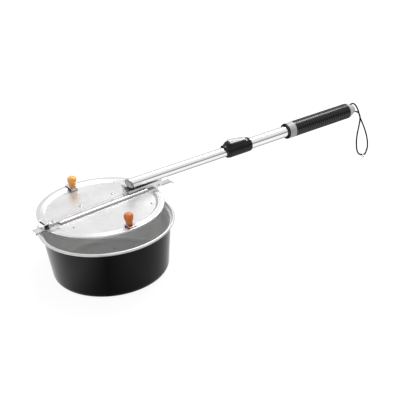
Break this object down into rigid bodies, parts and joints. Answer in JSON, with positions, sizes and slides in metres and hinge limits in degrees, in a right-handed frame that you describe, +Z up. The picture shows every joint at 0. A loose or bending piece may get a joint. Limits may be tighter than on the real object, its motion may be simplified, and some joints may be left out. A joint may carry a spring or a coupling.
{
  "type": "campfire popcorn popper",
  "caption": "Deep black pan with a hinged two-part metal lid that turns on a rim hook, and a long telescoping handle with a lever lock, ribbed grip and wrist cord.",
  "frame": {"origin": "centre of the pan's flat underside, on the surface it stands on", "axes": "+Z up, +X along the handle towards the grip, +Y towards the back half of the lid"},
  "size_m": [0.8452, 0.2919, 0.1406],
  "materials": {
    "pan": "gloss black outside, bare rim and inside",
    "lid_sheet": "lightly brushed",
    "steel": "bright",
    "rivet": "satin",
    "knob_wood": "varnished",
    "tube": "polished",
    "black_plastic": "satin",
    "lever": "silver",
    "grip_rubber": "matte",
    "ferrule_plastic": "grey",
    "cap_plastic": "light grey",
    "cord": "woven black"
  },
  "bodies": {
    "pan_body": {"pan": "pan"},
    "lid": {"lid_back_half": "lid_sheet", "lid_spine": "steel", "backing_plate": "steel", "lid_rivets": "rivet", "hinge_pin": "steel", "back_saddle": "steel", "back_knob": "knob_wood", "back_knob_screw": "steel", "rim_hook": "steel", "hook_rivets": "rivet", "handle_bracket": "steel", "tube_rivets": "rivet", "latch_pin": "steel", "latch_spring": "steel", "inner_tube": "tube", "inner_tube_bush": "black_plastic"},
    "front_flap": {"lid_front_half": "lid_sheet", "front_saddle": "steel", "front_knob": "knob_wood", "front_knob_screw": "steel"},
    "latch": {"latch_lever": "steel"},
    "grip_handle": {"outer_tube": "tube", "lock_body": "black_plastic", "lock_pin": "steel", "lock_pad": "grip_rubber", "grip_core": "black_plastic", "grip_ferrule": "ferrule_plastic", "grip_sleeve": "grip_rubber", "end_cap": "cap_plastic", "lanyard": "cord", "lanyard_crimp": "rivet"},
    "lock": {"lock_lever": "lever"}
  },
  "joints": [
    {"name": "lid_swing", "type": "hinge", "parent": "pan_body", "child": "lid", "pos_m": [-0.10404, 0.06654, 0.101], "axis": [0, 0, 1], "range_deg": [-23, 4]},
    {"name": "flap_hinge", "type": "hinge", "parent": "lid", "child": "front_flap", "pos_m": [0.01773, 0.04034, 0.1065], "axis": [-1, 0, 0], "range_deg": [0, 75]},
    {"name": "latch_pivot", "type": "hinge", "parent": "lid", "child": "latch", "pos_m": [0.15123, 0.05134, 0.104], "axis": [0, -1, 0], "range_deg": [0, 18], "stiffness_Nm_per_rad": 0.2, "springref_deg": -5.73},
    {"name": "handle_slide", "type": "slide", "parent": "lid", "child": "grip_handle", "axis": [0.9994, 0, -0.034], "range_m": [-0.125, 0.06]},
    {"name": "lock_pivot", "type": "hinge", "parent": "grip_handle", "child": "lock", "pos_m": [0.36756, 0.05134, 0.13113], "axis": [0, 1, 0], "range_deg": [0, 75]}
  ]
}
